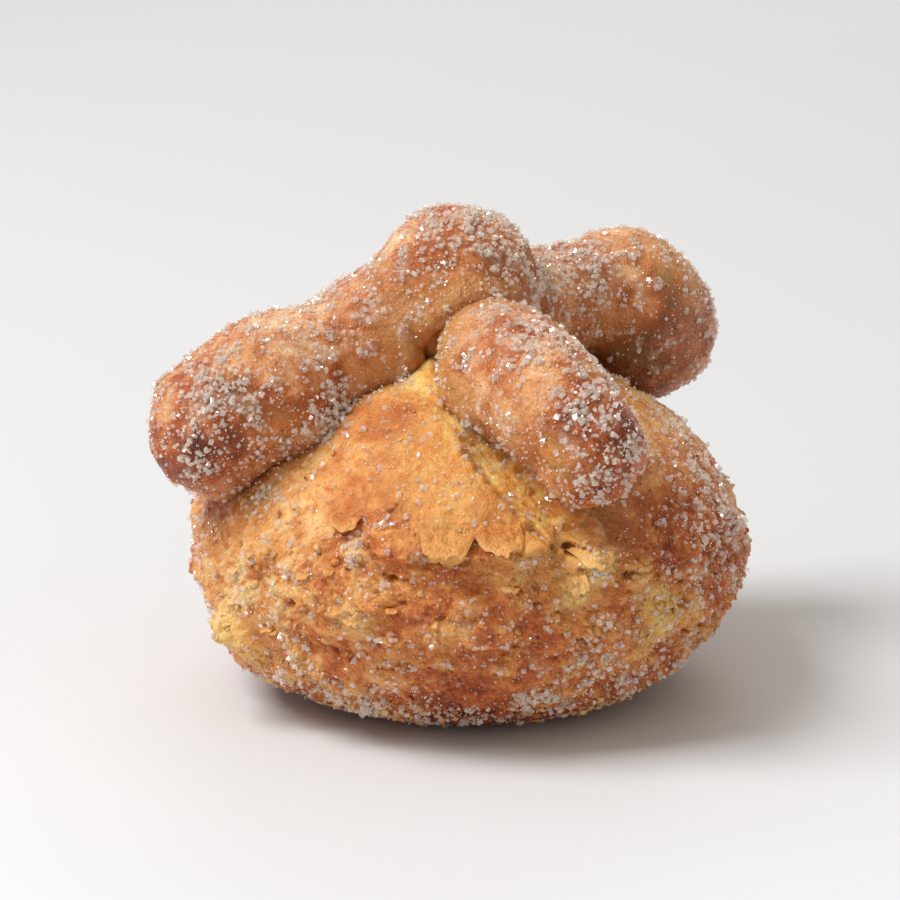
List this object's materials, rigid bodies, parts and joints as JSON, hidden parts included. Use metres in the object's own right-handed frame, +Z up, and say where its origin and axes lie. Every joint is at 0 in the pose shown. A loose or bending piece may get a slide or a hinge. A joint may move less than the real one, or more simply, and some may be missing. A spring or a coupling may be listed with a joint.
{
  "type": "pan de muerto",
  "caption": "Round sugared sweet bread with a cross of dough bones and a ball on top, its crust torn open at the front.",
  "frame": {"origin": "centre of the bun's flat foot, on the surface it stands on", "axes": "+Z up; the side with the torn crust faces -Y, so +X is to the right of someone looking at it"},
  "size_m": [0.0838, 0.0805, 0.0684],
  "materials": {
    "bun_crust": "baked golden crust, craggy and darker low down, under coarse sugar",
    "bone_crust": "baked brown crust, smoother, thickly sugared",
    "sugar": "clear to white sugar crystals"
  },
  "bodies": {
    "root": {"bun": "bun_crust", "bone_left": "bone_crust", "bone_right": "bone_crust", "bone_front": "bone_crust", "bone_rear": "bone_crust", "knob": "bone_crust"}
  },
  "joints": []
}
